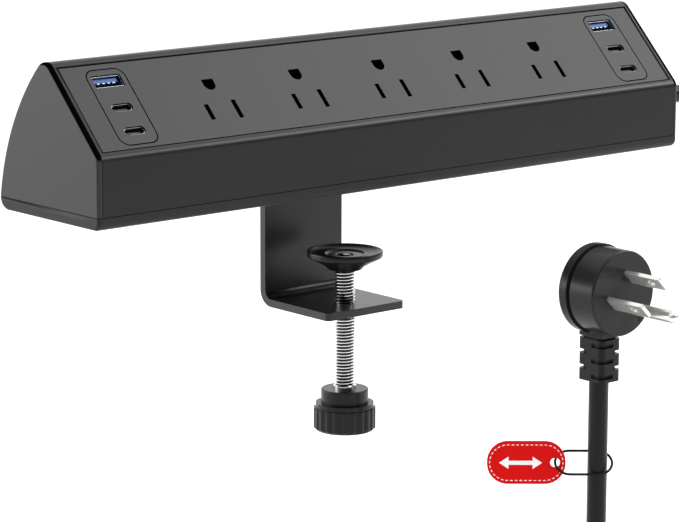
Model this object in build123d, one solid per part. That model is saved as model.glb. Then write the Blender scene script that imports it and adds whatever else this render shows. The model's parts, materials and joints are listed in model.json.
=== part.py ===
from build123d import *

import os
from math import asin, cos, degrees, hypot, pi, radians, sin, tan

# Desk power strip with an edge clamp: a wedge-shaped casing with five outlets and two USB
# modules, a C-shaped clamp bracket, and a mains cord with a low-profile plug.
# Millimetres. +X runs along the strip, +Y to its back, +Z up. The origin is the middle of
# the flat underside, which rests on the desk.

# ---------------------------------------------------------------- driving sizes: casing
strip_length = 291.0
base_depth = 61.0  # across the underside, sharp corner to sharp corner
front_height = 26.1  # upright front, up to its sharp corner with the slope
slope_angle = 45.5  # of the outlet face, from level
back_radius = 88.6  # bulge of the back
back_lean = 5.0  # degrees from upright where the back meets the underside
apex_radius = 5.0
front_edge_radius = 4.5
front_foot_radius = 3.0
back_foot_radius = 4.7
wall = 2.4
end_cap_plate = 2.0  # what shows of an end cap, along X
cap_edge_radius = 1.2
cap_lip_depth = 4.0
cap_lip_wall = 1.6
split_height = 4.7  # joint between the bottom cover and the rest
seam = 0.25  # open joint between two casing mouldings

# ---------------------------------------------------------------- driving sizes: outlet face
outlet_setback = 13.8  # slot centres, up the slope from the front's sharp corner
outlet_count = 5
outlet_to_usb = 42.16  # from an end outlet's middle to the USB module beside it
panel_inset = 3.5  # from the strip's end to the panel's end
panel_height = 37.6
panel_below = 11.6  # from the slot centres down to the panel's lower edge
panel_thickness = 2.0
panel_recess = 0.2
panel_gap = 0.3
ledge = 1.3  # of the casing, under the panel's edge
blade_spacing = 12.7
ground_offset = 11.89
hot_slot_height = 6.9
neutral_slot_height = 8.2
slot_width = 2.0
ground_hole_width = 5.3
ground_hole_height = 4.9

# ---------------------------------------------------------------- driving sizes: USB modules
usb_inset = 18.1  # from the panel's end to the module's middle
bezel_width = 16.8
bezel_height = 33.3
bezel_radius = 4.0
bezel_rise = 6.85  # centre above the slot centres, up the slope
bezel_gap = 0.3
bezel_flange = 1.2
usb_a_rise = 18.4
usb_c_rises = {"upper": 6.5, "lower": -3.9}
usb_a_width = 12.5
usb_a_height = 5.1
usb_c_width = 8.9
usb_c_height = 3.2
port_wall = 0.3
port_depth = 12.5
port_gap = 0.1
board_thickness = 1.6

# ---------------------------------------------------------------- driving sizes: clamp
bracket_width = 39.4
bracket_thickness = 3.0
bracket_clearance = 1.3  # from the back of the underside to the upright plate's front
bracket_drop = 50.8  # from the underside down to the top of the lower arm
arm_reach = 38.0  # forward of the stop
flange_inset = 16.3  # from the front of the underside to the flange's front edge
flange_recess = 0.2
bend_inside = 3.4
arm_corner = 2.0
screw_setback = 25.0  # screw axis, forward of the stop
screw_diameter = 7.9
screw_fit = 0.08
thread_pitch = 1.25
rod_length = 46.5  # between the pad's neck and the knob
collar_diameter = 9.0
collar_height = 1.6
pad_diameter = 29.6
pad_height = 7.3
pad_neck_diameter = 13.6
pad_rim = 2.2
pad_dish = 1.4
pad_drop = 30.3  # rim of the pad below the underside, as drawn
ball_radius = 3.8
ball_fit = 0.3
ball_rise = 2.3  # ball centre above the bottom of the pad's neck
tip_radius = 2.0
tip_fit = 0.05
neck_gap = 1.1
knob_diameter = 24.4
knob_hub_diameter = 18.6
knob_hub_height = 5.6
knob_shoulder_diameter = 22.8
knob_shoulder_height = 2.0
knob_grip_height = 8.9
knob_flutes = 22
flute_depth = 0.45

# ---------------------------------------------------------------- driving sizes: cord and plug
cord_diameter = 7.6
cord_length = 6096.0  # twenty feet, as the tag says
gland_y = 12.0
gland_z = 13.5
gland_length = 30.0
gland_base_diameter = 14.0
gland_tip_diameter = 10.0
plug_x = 49.2
plug_face_y = -96.0
plug_z = -37.6
plug_diameter = 32.8
plug_front_depth = 12.2
plug_groove = 1.2
plug_rim_diameter = 34.4
plug_rim_depth = 5.2
plug_cord_setback = 12.1  # cord axis behind the plug's face
plug_pin_shift = 2.4  # blades' middle from the face's middle, away from the earth pin
blade_length = 18.2
blade_width = 6.35
blade_thickness = 1.5
pin_diameter = 4.75
pin_length = 21.4
pin_root_length = 9.0
pin_root_radius = 2.0
relief_length = 17.1  # of the ribbed sleeve below the plug
relief_depth = 12.4
relief_width = 9.4
relief_blocks = 3
relief_block = 4.4
relief_groove = 1.6
relief_slot_rise = 1.3  # of the corner slots above each block's foot
neck_drop = 0.8  # of the plug's neck, below its rim
floor_z = -210.0  # the surface that the spare cord lies on
coil_entry_y = 46.5
coil_radius = 54.8  # middle of the turns
coil_across = 5
coil_layers = 4

# ---------------------------------------------------------------- values that follow
half = strip_length / 2
front_y = -base_depth / 2
back_y = base_depth / 2
shell_half = half - end_cap_plate
along = radians(slope_angle)
lean = radians(back_lean)
back_centre = (back_y - back_radius * cos(lean), -back_radius * sin(lean))


def slope_length():
    """Sharp front corner to the sharp apex, where the slope's line meets the back's arc."""
    dy, dz = front_y - back_centre[0], front_height - back_centre[1]
    b = dy * cos(along) + dz * sin(along)
    return -b + (b * b - dy * dy - dz * dz + back_radius**2) ** 0.5


apex = (
    front_y + slope_length() * cos(along),
    front_height + slope_length() * sin(along),
)
# The outlet face's own frame: X along the strip, Y up the slope, Z out of the face,
# with its origin midway between the slots of the middle outlet.
panel_length = strip_length - 2 * panel_inset
usb_spacing = panel_length - 2 * usb_inset
outlet_pitch = (usb_spacing - 2 * outlet_to_usb) / (outlet_count - 1)
face_frame = Plane(
    origin=(0, front_y + outlet_setback * cos(along), front_height + outlet_setback * sin(along)),
    x_dir=(1, 0, 0),
    z_dir=(0, -sin(along), cos(along)),
)
panel_middle = panel_height / 2 - panel_below
panel_top = -panel_recess
panel_back = panel_top - panel_thickness
outlet_xs = [(i - (outlet_count - 1) / 2) * outlet_pitch for i in range(outlet_count)]
usb_xs = {"left": -usb_spacing / 2, "right": usb_spacing / 2}
port_top = panel_top - 0.5
board_top = port_top - port_depth
bracket_stop = back_y + bracket_clearance
flange_front = front_y + flange_inset
screw_y = bracket_stop - screw_setback
arm_top = -bracket_drop
neck_bottom = -pad_drop - pad_height
ball_z = neck_bottom + ball_rise
rod_top = neck_bottom - neck_gap
knob_top = rod_top - rod_length
cord_radius = cord_diameter / 2
lying_z = floor_z + cord_radius
coil_outer = coil_radius + coil_across * cord_radius
entry_radius = coil_outer - cord_radius
exit_radius = coil_radius + 1.5 * cord_diameter
coil_x = plug_x + exit_radius
coil_y = coil_entry_y - entry_radius
coil_height = coil_layers * cord_diameter
top_turn_z = floor_z + coil_height - cord_radius
plug_cord_y = plug_face_y + plug_cord_setback
relief_top = plug_z - plug_rim_diameter / 2 - neck_drop
relief_bottom = relief_top - relief_length

os.makedirs("parts", exist_ok=True)


def save(name, *pieces):
    """Writes one node: a single piece, or a group of like pieces that share the node."""
    shape = pieces[0] if len(pieces) == 1 else Compound(list(pieces))
    solids = shape.solids()
    export_step(Compound(list(solids)) if len(solids) > 1 else solids[0], f"parts/{name}.step")


def block(low, high):
    """A box between two opposite corners."""
    sizes = [abs(b - a) for a, b in zip(low, high)]
    middle = [(a + b) / 2 for a, b in zip(low, high)]
    return Pos(*middle) * Box(*sizes)


def rod(start, end, radius):
    """A round bar from one point to another."""
    axis = Vector(*end) - Vector(*start)
    return extrude(Plane(origin=start, z_dir=axis) * Circle(radius), amount=axis.length)


def cone_z(x, y, bottom, top, bottom_radius, top_radius):
    """An upright cone or, with equal radii, a cylinder."""
    if bottom_radius == top_radius:
        return rod((x, y, bottom), (x, y, top), top_radius)
    section = Polyline((0, bottom), (bottom_radius, bottom), (top_radius, top), (0, top), close=True)
    return Pos(x, y, 0) * revolve(Plane.XZ * make_face(section), Axis.Z)


def on_face(shape):
    """Moves a shape from the outlet face's own frame into place."""
    return face_frame.location * shape


# ---------------------------------------------------------------- casing section


def round_corner(outline, y, z, radius):
    """Rounds the corner of a section that lies at y, z."""
    corner = outline.vertices().sort_by_distance((0, y, z))[0]
    return fillet(corner, radius)


def casing_section():
    """The casing's outer section: upright front, sloping outlet face, bulging back, flat foot."""
    high = degrees(asin((apex[1] - back_centre[1]) / back_radius))
    low = degrees(lean)
    middle = radians((high + low) / 2)
    belly = (back_centre[0] + back_radius * cos(middle), back_centre[1] + back_radius * sin(middle))
    front = Polyline((back_y, 0), (front_y, 0), (front_y, front_height), apex)
    back = ThreePointArc(apex, belly, (back_y, 0))
    outline = Plane.YZ * make_face(front + back)
    outline = round_corner(outline, *apex, apex_radius)
    outline = round_corner(outline, front_y, front_height, front_edge_radius)
    outline = round_corner(outline, front_y, 0, front_foot_radius)
    return round_corner(outline, back_y, 0, back_foot_radius)


section = casing_section()
inside_section = offset(section, amount=-wall)
lip_section = offset(section, amount=-wall - seam / 2)
lip_hollow = offset(section, amount=-wall - seam / 2 - cap_lip_wall)
far = strip_length  # longer than anything that is cut
above_split = block((-far, -far, split_height + seam / 2), (far, far, far))
below_split = block((-far, -far, -far), (far, far, split_height - seam / 2))

boss_radius = 3.3
boss_top = 18.0
boss_ys = (front_y + wall + boss_radius + 0.4, back_y - wall - boss_radius - 1.0)
boss_end = shell_half - 15.5
boss_xs = (-boss_end, 66 - boss_end, boss_end - 66, boss_end)
case_screw_radius = 1.5
case_screw_head = 2.9
case_screw_head_height = 1.6
case_screw_length = 12.0


def extruded(outline, half_length):
    return extrude(outline, amount=half_length, both=True)


def main_shell():
    """Upper casing: one extruded-looking moulding with the panel's seat and the screw bosses."""
    solid = extruded(section, shell_half)
    hollow = extruded(inside_section, far)
    walls = (solid - hollow) & above_split
    seat_low = panel_back - 2.0
    seat = block(
        (-shell_half, panel_middle - panel_height / 2 - 2, seat_low),
        (shell_half, panel_middle + panel_height / 2 + 2, 0),
    )
    walls = walls + (on_face(seat) & solid & above_split)
    for x in boss_xs:
        for y in boss_ys:
            boss = block((x - 1, y, split_height + seam / 2), (x + 1, y + (8 if y > 0 else -8), boss_top))
            boss = boss + cone_z(x, y, split_height + seam / 2, boss_top, boss_radius, boss_radius)
            walls = walls + (boss & solid)
    for x in boss_xs:
        for y in boss_ys:
            pilot = cone_z(x, y, 0, case_screw_length + 1.5, case_screw_radius, case_screw_radius)
            walls = walls - pilot
    rebate = block(
        (-panel_length / 2 - panel_gap, -panel_below - panel_gap, panel_back),
        (panel_length / 2 + panel_gap, panel_height - panel_below + panel_gap, 5),
    )
    window = block(
        (-panel_length / 2 + ledge, -panel_below + ledge, seat_low - 1),
        (panel_length / 2 - ledge, panel_height - panel_below - ledge, 5),
    )
    return walls - on_face(rebate) - on_face(window)


pocket_half = bracket_width / 2 + 0.3
pocket_front = flange_front - 0.4
pocket_top = flange_recess + bracket_thickness + 0.05
bracket_screw_xs = (-bracket_width * 0.28, bracket_width * 0.28)
bracket_screw_ys = (flange_front + 6.2, bracket_stop - 14.8)
bracket_screw_radius = 2.0
bracket_screw_head = 3.9
bracket_screw_head_height = 2.1
bracket_screw_end = 10.2
nut_width = 7.0
nut_height = 3.2
platform = 2.4


def bottom_cover():
    """Flat tray that closes the casing, with a pocket that lets the bracket's flange in flush."""
    solid = extruded(section, half)
    rims = [e for e in solid.edges() if abs(abs(e.center().X) - half) < 1e-3]
    solid = fillet(rims, cap_edge_radius) & below_split
    tray = solid - extruded(inside_section, half - end_cap_plate)
    raised = block(
        (-pocket_half - platform, pocket_front - platform, wall - 1),
        (pocket_half + platform, back_y - back_foot_radius - 1.2, pocket_top + platform),
    )
    tray = tray + raised
    pocket = block((-pocket_half, pocket_front, -5), (pocket_half, far, pocket_top))
    tray = tray - pocket
    for x in bracket_screw_xs:
        for y in bracket_screw_ys:
            tray = tray - cone_z(x, y, 0, 20, bracket_screw_radius + 0.2, bracket_screw_radius + 0.2)
    for x in boss_xs:
        for y in boss_ys:
            tray = tray + cone_z(x, y, 1, split_height - seam / 2, boss_radius, boss_radius)
            seat = case_screw_head_height + 0.4
            tray = tray - cone_z(x, y, -1, seat, case_screw_head + 0.3, case_screw_head + 0.3)
            tray = tray - cone_z(x, y, 0, 20, case_screw_radius + 0.25, case_screw_radius + 0.25)
    return tray


def case_screws():
    """Eight self-tapping screws, up through the bottom cover into the casing's bosses."""
    screws = []
    seat = case_screw_head_height + 0.4
    shank = case_screw_radius - 0.05
    for x in boss_xs:
        for y in boss_ys:
            head = cone_z(x, y, seat - case_screw_head_height, seat, case_screw_head, case_screw_head)
            cross = block((x - 1.6, y - 0.4, seat - 5), (x + 1.6, y + 0.4, seat - 0.8))
            cross = cross + block((x - 0.4, y - 1.6, seat - 5), (x + 0.4, y + 1.6, seat - 0.8))
            screws.append(head - cross + cone_z(x, y, seat, case_screw_length, shank, shank))
    return screws


gland_neck_radius = gland_base_diameter / 2 - 2.0
gland_fit = 0.1


def end_cap(side):
    """Closing plate at one end, with a lip that plugs into the casing's mouth."""
    plate = extrude(Pos(side * shell_half, 0, 0) * section, amount=side * end_cap_plate)
    rim = [e for e in plate.edges() if abs(e.center().X - side * half) < 1e-3]
    plate = fillet(rim, cap_edge_radius)
    joint_x = side * (shell_half + seam)
    plate = plate & block((joint_x, -far, 0), (side * far, far, far))
    start = Pos(side * (shell_half - cap_lip_depth), 0, 0)
    depth = side * (cap_lip_depth + seam)
    lip = extrude(start * lip_section, amount=depth) - extrude(start * lip_hollow, amount=depth)
    cap = (plate + lip) & above_split
    seat = block((-far, -panel_below - 2, panel_back - 4), (far, panel_height - panel_below + 2, 0))
    notch = on_face(seat) & block((-shell_half - seam / 2, -far, 0), (shell_half + seam / 2, far, far))
    cap = cap - notch
    for x in boss_xs:
        for y in boss_ys:
            cap = cap - cone_z(x, y, 0, boss_top + 0.5, boss_radius + 0.5, boss_radius + 0.5)
    if side > 0:
        start_x = shell_half - cap_lip_depth - 1
        radius = gland_neck_radius + gland_fit
        cap = cap - rod((start_x, gland_y, gland_z), (half + 1, gland_y, gland_z), radius)
    return cap


# ---------------------------------------------------------------- outlet face


def slot(x, height, deep):
    """One blade slot, upright on the outlet face."""
    return block((x - slot_width / 2, -height / 2, -deep), (x + slot_width / 2, height / 2, 1))


def ground_hole(x, deep):
    """Earth hole: round at the bottom and flat at the top."""
    radius = ground_hole_width / 2
    middle = ground_offset - ground_hole_height / 2 + radius
    top = ground_offset + ground_hole_height / 2
    hole = rod((x, middle, -deep), (x, middle, 1), radius)
    hole = hole & block((x - radius, middle - radius, -deep), (x + radius, top, 1))
    return hole + block((x - radius, middle, -deep), (x + radius, top, 1))


def outlet_holes(deep):
    holes = []
    for x in outlet_xs:
        holes.append(slot(x - blade_spacing / 2, hot_slot_height, deep))
        holes.append(slot(x + blade_spacing / 2, neutral_slot_height, deep))
        holes.append(ground_hole(x, deep))
    return holes


def rounded_plate(x, y, width, height, radius, low, high):
    """A flat plate with rounded corners, on the outlet face's frame."""
    return Pos(x, y, low) * extrude(RectangleRounded(width, height, radius), amount=high - low)


def face_panel():
    """Flush face plate with the outlet openings and the two USB windows."""
    low = -panel_below
    panel = block((-panel_length / 2, low, panel_back), (panel_length / 2, low + panel_height, panel_top))
    top_edges = [e for e in panel.edges() if abs(e.center().Z - panel_top) < 1e-6]
    panel = chamfer(top_edges, 0.25)
    for hole in outlet_holes(5):
        panel = panel - hole
    for x in usb_xs.values():
        width, height = bezel_width + 2 * bezel_gap, bezel_height + 2 * bezel_gap
        panel = panel - rounded_plate(x, bezel_rise, width, height, bezel_radius + bezel_gap, -9, 2)
    return on_face(panel)


def usb_openings(x, gap):
    """The three port openings of one USB module, with a gap round each port's shell."""
    width, height = usb_a_width + 2 * gap, usb_a_height + 2 * gap
    cuts = [block((x - width / 2, usb_a_rise - height / 2, -30), (x + width / 2, usb_a_rise + height / 2, 2))]
    for rise in usb_c_rises.values():
        width, height = usb_c_width + 2 * gap, usb_c_height + 2 * gap
        cuts.append(rounded_plate(x, rise, width, height, height / 2 - 0.01, -30, 2))
    return cuts


def usb_bezel(x):
    """Insert that fills a USB window, with a flange behind the panel."""
    top = panel_top
    back = panel_back - bezel_flange
    body = rounded_plate(x, bezel_rise, bezel_width, bezel_height, bezel_radius, back, top)
    edge = [e for e in body.edges() if abs(e.center().Z - top) < 1e-6]
    body = chamfer(edge, 0.2)
    width, height = bezel_width + 2, bezel_height + 0.8
    flange = rounded_plate(x, bezel_rise, width, height, bezel_radius, back, panel_back)
    body = body + flange
    for cut in usb_openings(x, port_gap):
        body = body - cut
    return on_face(body)


def usb_a_shell(x):
    """Folded steel shell of the larger port."""
    low = (x - usb_a_width / 2, usb_a_rise - usb_a_height / 2, board_top)
    high = (x + usb_a_width / 2, usb_a_rise + usb_a_height / 2, port_top)
    shell = block(low, high)
    mouth = block(
        (low[0] + port_wall, low[1] + port_wall, board_top + 1),
        (high[0] - port_wall, high[1] - port_wall, 2),
    )
    return on_face(shell - mouth)


def usb_a_tongue(x):
    """Blue tongue that carries the larger port's contacts."""
    low = (x - usb_a_width / 2 + 1.1, usb_a_rise + 0.25, board_top + 1)
    high = (x + usb_a_width / 2 - 1.1, usb_a_rise + 1.95, port_top - 0.9)
    return on_face(block(low, high))


def usb_c_shell(x, rise):
    """Drawn steel shell of a small oblong port."""
    outer = rounded_plate(x, rise, usb_c_width, usb_c_height, usb_c_height / 2 - 0.01, board_top, port_top)
    width, height = usb_c_width - 2 * port_wall, usb_c_height - 2 * port_wall
    mouth = rounded_plate(x, rise, width, height, height / 2 - 0.01, board_top + 1, 2)
    return on_face(outer - mouth)


def usb_c_tongue(x, rise):
    """Thin centre tongue of a small oblong port."""
    return on_face(block((x - 3.2, rise - 0.35, board_top + 1), (x + 3.2, rise + 0.35, port_top - 1.2)))


board_low = -8.0
board_high = 22.5
board_half = 14.0


def usb_board(x):
    """Circuit board that the module's ports stand on."""
    back = board_top - board_thickness
    return on_face(block((x - board_half, board_low, back), (x + board_half, board_high, board_top)))


def usb_parts(x):
    """Transformer, capacitor and coil on the back of a module's board."""
    back = board_top - board_thickness
    transformer = block((x - 8.5, -5, back - 8.0), (x + 3.5, 7, back))
    capacitor = rod((x + 8.5, 1, back), (x + 8.5, 1, back - 8.5), 3.8)
    inductor = rod((x - 2.5, 14.5, back), (x - 2.5, 14.5, back - 5), 4.2)
    return [on_face(transformer), on_face(capacitor), on_face(inductor)]


# ---------------------------------------------------------------- outlet contacts
carrier_half = usb_spacing / 2 - 20.9
carrier_low = -9.5
carrier_high = 18.0
carrier_top = panel_back - 0.05
carrier_skin = 1.6
carrier_bottom = -21.0
carrier_wall = 1.4
contact_leaf = 0.6
contact_gap = blade_thickness + 0.1
contact_low = carrier_bottom + 2.2
contact_high = carrier_top - carrier_skin - 0.6
strip_low = contact_low - 0.8


def contact_carrier():
    """Insulating tray behind the face panel that holds the three contact strips."""
    tray = block((-carrier_half, carrier_low, carrier_bottom), (carrier_half, carrier_high, carrier_top))
    inner = block(
        (-carrier_half + carrier_wall, carrier_low + carrier_wall, carrier_bottom - 1),
        (carrier_half - carrier_wall, carrier_high - carrier_wall, carrier_top - carrier_skin),
    )
    tray = tray - inner
    for hole in outlet_holes(9):
        tray = tray - hole
    mouth = block((carrier_half - 3, -7.5, strip_low - 1.2), (carrier_half + 1, 15.5, contact_low + 2))
    return on_face(tray - mouth)


def carrier_lid():
    """Plate that closes the back of the contact tray."""
    lid_low = carrier_bottom - 1.5
    lid = block((-carrier_half, carrier_low, lid_low), (carrier_half, carrier_high, carrier_bottom))
    return on_face(lid)


def blade_contact(x):
    """A pair of spring leaves that grip one flat blade."""
    pair = block(
        (x - contact_gap / 2 - contact_leaf, -2.6, strip_low),
        (x + contact_gap / 2 + contact_leaf, 2.6, contact_high),
    )
    return pair - block((x - contact_gap / 2, -5, contact_low), (x + contact_gap / 2, 5, 5))


def strip_bar(y_low, y_high):
    return block((outlet_xs[0] - 9, y_low, strip_low), (carrier_half + 4, y_high, contact_low))


def line_strip():
    """Live contact strip: a bar below the slots, with a contact at each outlet's left slot."""
    bar = strip_bar(-7.4, -3.6)
    for x in outlet_xs:
        hot = x - blade_spacing / 2
        foot = block((hot - 1.4, -4, strip_low), (hot + 1.4, -2.4, contact_low))
        bar = bar + foot + blade_contact(hot)
    return on_face(bar)


def neutral_strip():
    """Neutral contact strip: a bar above the slots, with a contact at each right slot."""
    bar = strip_bar(3.6, 7.4)
    for x in outlet_xs:
        cold = x + blade_spacing / 2
        foot = block((cold - 1.4, 2.4, strip_low), (cold + 1.4, 4, contact_low))
        bar = bar + foot + blade_contact(cold)
    return on_face(bar)


def earth_strip():
    """Earth contact strip: a bar with a round clip at each outlet's earth hole."""
    bar = strip_bar(ground_offset - 2, ground_offset + 2)
    for x in outlet_xs:
        clip = rod((x, ground_offset, strip_low), (x, ground_offset, contact_high), pin_diameter / 2 + 0.7)
        bar = bar + clip
    for x in outlet_xs:
        bar = bar - rod((x, ground_offset, contact_low), (x, ground_offset, 5), pin_diameter / 2 + 0.1)
    return on_face(bar)


# ---------------------------------------------------------------- clamp


def clamp_bracket():
    """C-shaped bracket folded from one steel strip, with a round hole for the clamp screw."""
    width = bracket_width / 2
    flange_top = flange_recess + bracket_thickness
    rear = bracket_stop + bracket_thickness
    flange = block((-width, flange_front, flange_recess), (width, rear, flange_top))
    plate = block((-width, bracket_stop, arm_top - bracket_thickness), (width, rear, flange_top))
    arm = block((-width, bracket_stop - arm_reach, arm_top - bracket_thickness), (width, rear, arm_top))
    bracket = flange + plate + arm
    bends = {
        (bracket_stop, flange_recess): bend_inside,
        (bracket_stop, arm_top): bend_inside,
        (rear, flange_top): bend_inside + bracket_thickness,
        (rear, arm_top - bracket_thickness): bend_inside + bracket_thickness,
    }
    for (y, z), radius in bends.items():
        bend = [e for e in bracket.edges() if hypot(e.center().Y - y, e.center().Z - z) < 1e-3]
        bracket = fillet(bend, radius)
    arm_middle = arm_top - bracket_thickness / 2
    corners = [
        e
        for e in bracket.edges()
        if abs(e.center().Y - (bracket_stop - arm_reach)) < 1e-3 and abs(e.center().Z - arm_middle) < 1e-3
    ]
    bracket = fillet([e for e in corners if abs(abs(e.center().X) - width) < 1e-3], arm_corner)
    hole_radius = screw_diameter / 2 + screw_fit
    bracket = bracket - rod((0, screw_y, arm_top - 10), (0, screw_y, arm_top + 5), hole_radius)
    for x in bracket_screw_xs:
        for y in bracket_screw_ys:
            radius = bracket_screw_radius + 0.2
            bracket = bracket - cone_z(x, y, -1, 10, radius, radius)
            seat = flange_recess + bracket_screw_head_height + 0.1
            head, neck = bracket_screw_head + 0.1, bracket_screw_radius + 0.1
            bracket = bracket - cone_z(x, y, flange_recess, seat, head, neck)
    return bracket


def bracket_screws():
    """Four countersunk screws that hold the bracket's flange in the cover's pocket."""
    screws = []
    low = flange_recess + 0.05
    for x in bracket_screw_xs:
        for y in bracket_screw_ys:
            seat = low + bracket_screw_head_height
            head = cone_z(x, y, low, seat, bracket_screw_head, bracket_screw_radius)
            socket = cone_z(x, y, low - 1, low + 1.2, 1.25, 1.25)
            shank = cone_z(x, y, seat, bracket_screw_end, bracket_screw_radius, bracket_screw_radius)
            screws.append(head - socket + shank)
    return screws


def bracket_nuts():
    """Four hexagon nuts above the cover's platform, one on each bracket screw."""
    nuts = []
    low = pocket_top + platform
    for x in bracket_screw_xs:
        for y in bracket_screw_ys:
            hexagon = RegularPolygon(nut_width / 2, 6, major_radius=False)
            nut = extrude(Pos(x, y, low) * hexagon, amount=nut_height)
            bore = bracket_screw_radius + 0.02
            nuts.append(nut - cone_z(x, y, low - 1, low + nut_height + 1, bore, bore))
    return nuts


tip_top = ball_z + ball_radius - 1.0


def clamp_screw():
    """Clamp screw: plain rod to the thread's outer size, a turned-down tip and its peened head."""
    grip_bottom = knob_top - knob_hub_height - knob_shoulder_height
    radius = screw_diameter / 2
    screw = cone_z(0, screw_y, grip_bottom, rod_top, radius, radius)
    collar = collar_diameter / 2
    screw = screw + cone_z(0, screw_y, knob_top, knob_top + collar_height, collar, collar)
    screw = screw + cone_z(0, screw_y, rod_top, tip_top, tip_radius, tip_radius)
    return screw + cone_z(0, screw_y, tip_top, tip_top + 0.7, tip_radius + 0.5, tip_radius)


def swivel_ball():
    """Ball-shaped bush that turns on the screw's tip and tilts in the pad's socket."""
    ball = Pos(0, screw_y, ball_z) * Sphere(ball_radius)
    ball = ball & block((-9, screw_y - 9, ball_z - 2.9), (9, screw_y + 9, tip_top - 0.05))
    bore = tip_radius + tip_fit
    return ball - cone_z(0, screw_y, ball_z - 9, ball_z + 9, bore, bore)


def pressure_pad():
    """Dished pad that bears on the desk's underside, with a socket that keeps the ball in."""
    rim_top = -pad_drop
    outer, neck = pad_diameter / 2, pad_neck_diameter / 2
    dish_z = rim_top - pad_dish
    outline = FilletPolyline(
        (0, neck_bottom),
        (neck, neck_bottom),
        (neck + 0.9, neck_bottom + 1.4),
        (outer - 0.9, rim_top - pad_rim - 0.5),
        (outer, rim_top - pad_rim),
        (outer, rim_top),
        (outer - 1.4, rim_top),
        (outer - 4.5, dish_z),
        (0, dish_z),
        radius=0.3,
    )
    pad = revolve(Plane.XZ * make_face(outline + Line((0, dish_z), (0, neck_bottom))), Axis.Z)
    pad = Pos(0, screw_y, 0) * pad
    pad = pad - Pos(0, screw_y, ball_z) * Sphere(ball_radius + ball_fit)
    pad = pad - cone_z(0, screw_y, ball_z, rim_top + 1, 3.2, 3.2)
    return pad - cone_z(0, screw_y, neck_bottom - 1, ball_z, 3.3, 3.3)


def clamp_knob():
    """Moulded knob: plain hub, shoulder ring and fluted grip with a bevelled foot."""
    hub, shoulder, grip = knob_hub_diameter / 2, knob_shoulder_diameter / 2, knob_diameter / 2
    shoulder_z = knob_top - knob_hub_height
    grip_z = shoulder_z - knob_shoulder_height
    bottom = grip_z - knob_grip_height
    grip_body = cone_z(0, screw_y, bottom, grip_z, grip, grip)
    grip_body = chamfer([e for e in grip_body.edges() if abs(e.center().Z - bottom) < 1e-3], 1.0)
    cutter_radius = 2.2
    for i in range(knob_flutes):
        angle = 2 * pi * (i + 0.5) / knob_flutes
        reach = grip + cutter_radius - flute_depth
        x, y = reach * cos(angle), screw_y + reach * sin(angle)
        grip_body = grip_body - cone_z(x, y, bottom - 1, grip_z + 1, cutter_radius, cutter_radius)
    knob = grip_body + cone_z(0, screw_y, grip_z, shoulder_z, shoulder, shoulder)
    knob = knob + cone_z(0, screw_y, shoulder_z, knob_top, hub, hub)
    top = [e for e in knob.edges() if abs(e.center().Z - knob_top) < 1e-3]
    knob = fillet(top, 0.5)
    radius = screw_diameter / 2
    return knob - cone_z(0, screw_y, grip_z, knob_top + 1, radius, radius)


# ---------------------------------------------------------------- cord entry and wires


def cord_gland():
    """Tapered strain relief at the right end, with a neck and a flange inside the end cap."""
    x = half
    tip = x + gland_length
    inner_x = shell_half - cap_lip_depth
    sleeve = rod((inner_x, gland_y, gland_z), (x, gland_y, gland_z), gland_neck_radius)
    base, narrow = gland_base_diameter / 2, gland_tip_diameter / 2
    outline = Polyline((0, 0), (base, 0), (narrow, gland_length), (0, gland_length), close=True)
    taper = Location((x, gland_y, gland_z), (0, 90, 0)) * revolve(Plane.XZ * make_face(outline), Axis.Z)
    flange = rod((inner_x - 1.6, gland_y, gland_z), (inner_x, gland_y, gland_z), gland_neck_radius + 1.2)
    gland = sleeve + taper + flange
    for i in range(4):
        groove_x = x + 5 + 5 * i
        ring = rod((groove_x, gland_y, gland_z), (groove_x + 1.4, gland_y, gland_z), gland_base_diameter)
        core = rod((groove_x - 1, gland_y, gland_z), (groove_x + 3, gland_y, gland_z), cord_radius + 0.7)
        gland = gland - (ring - core)
    return gland - rod((inner_x - 5, gland_y, gland_z), (tip + 1, gland_y, gland_z), cord_radius)


sheath_end = shell_half - 17.0


def inner_sheath():
    """Cord from the strain relief's tip to where its jacket is stripped, inside the casing."""
    return rod((sheath_end, gland_y, gland_z), (half + gland_length, gland_y, gland_z), cord_radius)


def cord_clamp():
    """Saddle that grips the cord's jacket inside the casing, on a foot on the bottom cover."""
    x_low, x_high = shell_half - 13.5, shell_half - 6.5
    saddle = block(
        (x_low, gland_y - cord_radius - 2.5, wall),
        (x_high, gland_y + cord_radius + 2.5, gland_z + cord_radius + 1.8),
    )
    return saddle - rod((x_low - 1, gland_y, gland_z), (x_high + 1, gland_y, gland_z), cord_radius)


def face_point(x, y, z):
    """A point given on the outlet face's frame, as a point of the strip's own frame."""
    return face_frame.from_local_coords(Vector(x, y, z))


wire_radius = 1.4


def wire(points, radius):
    """One insulated wire along straight runs and round bends."""
    path = FilletPolyline(*points, radius=radius)
    return sweep((path ^ 0) * Circle(wire_radius), path=path)


def core_wires():
    """Live, neutral and earth cores, from the stripped jacket to their contact strips."""
    strips = {"line": -5.5, "neutral": 5.5, "earth": ground_offset}
    places = {"line": (-1.65, -0.95, 3), "neutral": (1.65, -0.95, 9), "earth": (0.0, 1.9, 3)}
    wires = {}
    for name, rise in strips.items():
        side, lift, straight = places[name]
        end = face_point(carrier_half + 4.05, rise, (strip_low + contact_low) / 2)
        start = Vector(sheath_end - 0.05, gland_y + side, gland_z + lift)
        points = [start, start - Vector(straight, 0, 0), end + Vector(3, 0, 0), end]
        wires[name] = wire(points, 1.8)
    return wires


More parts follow.
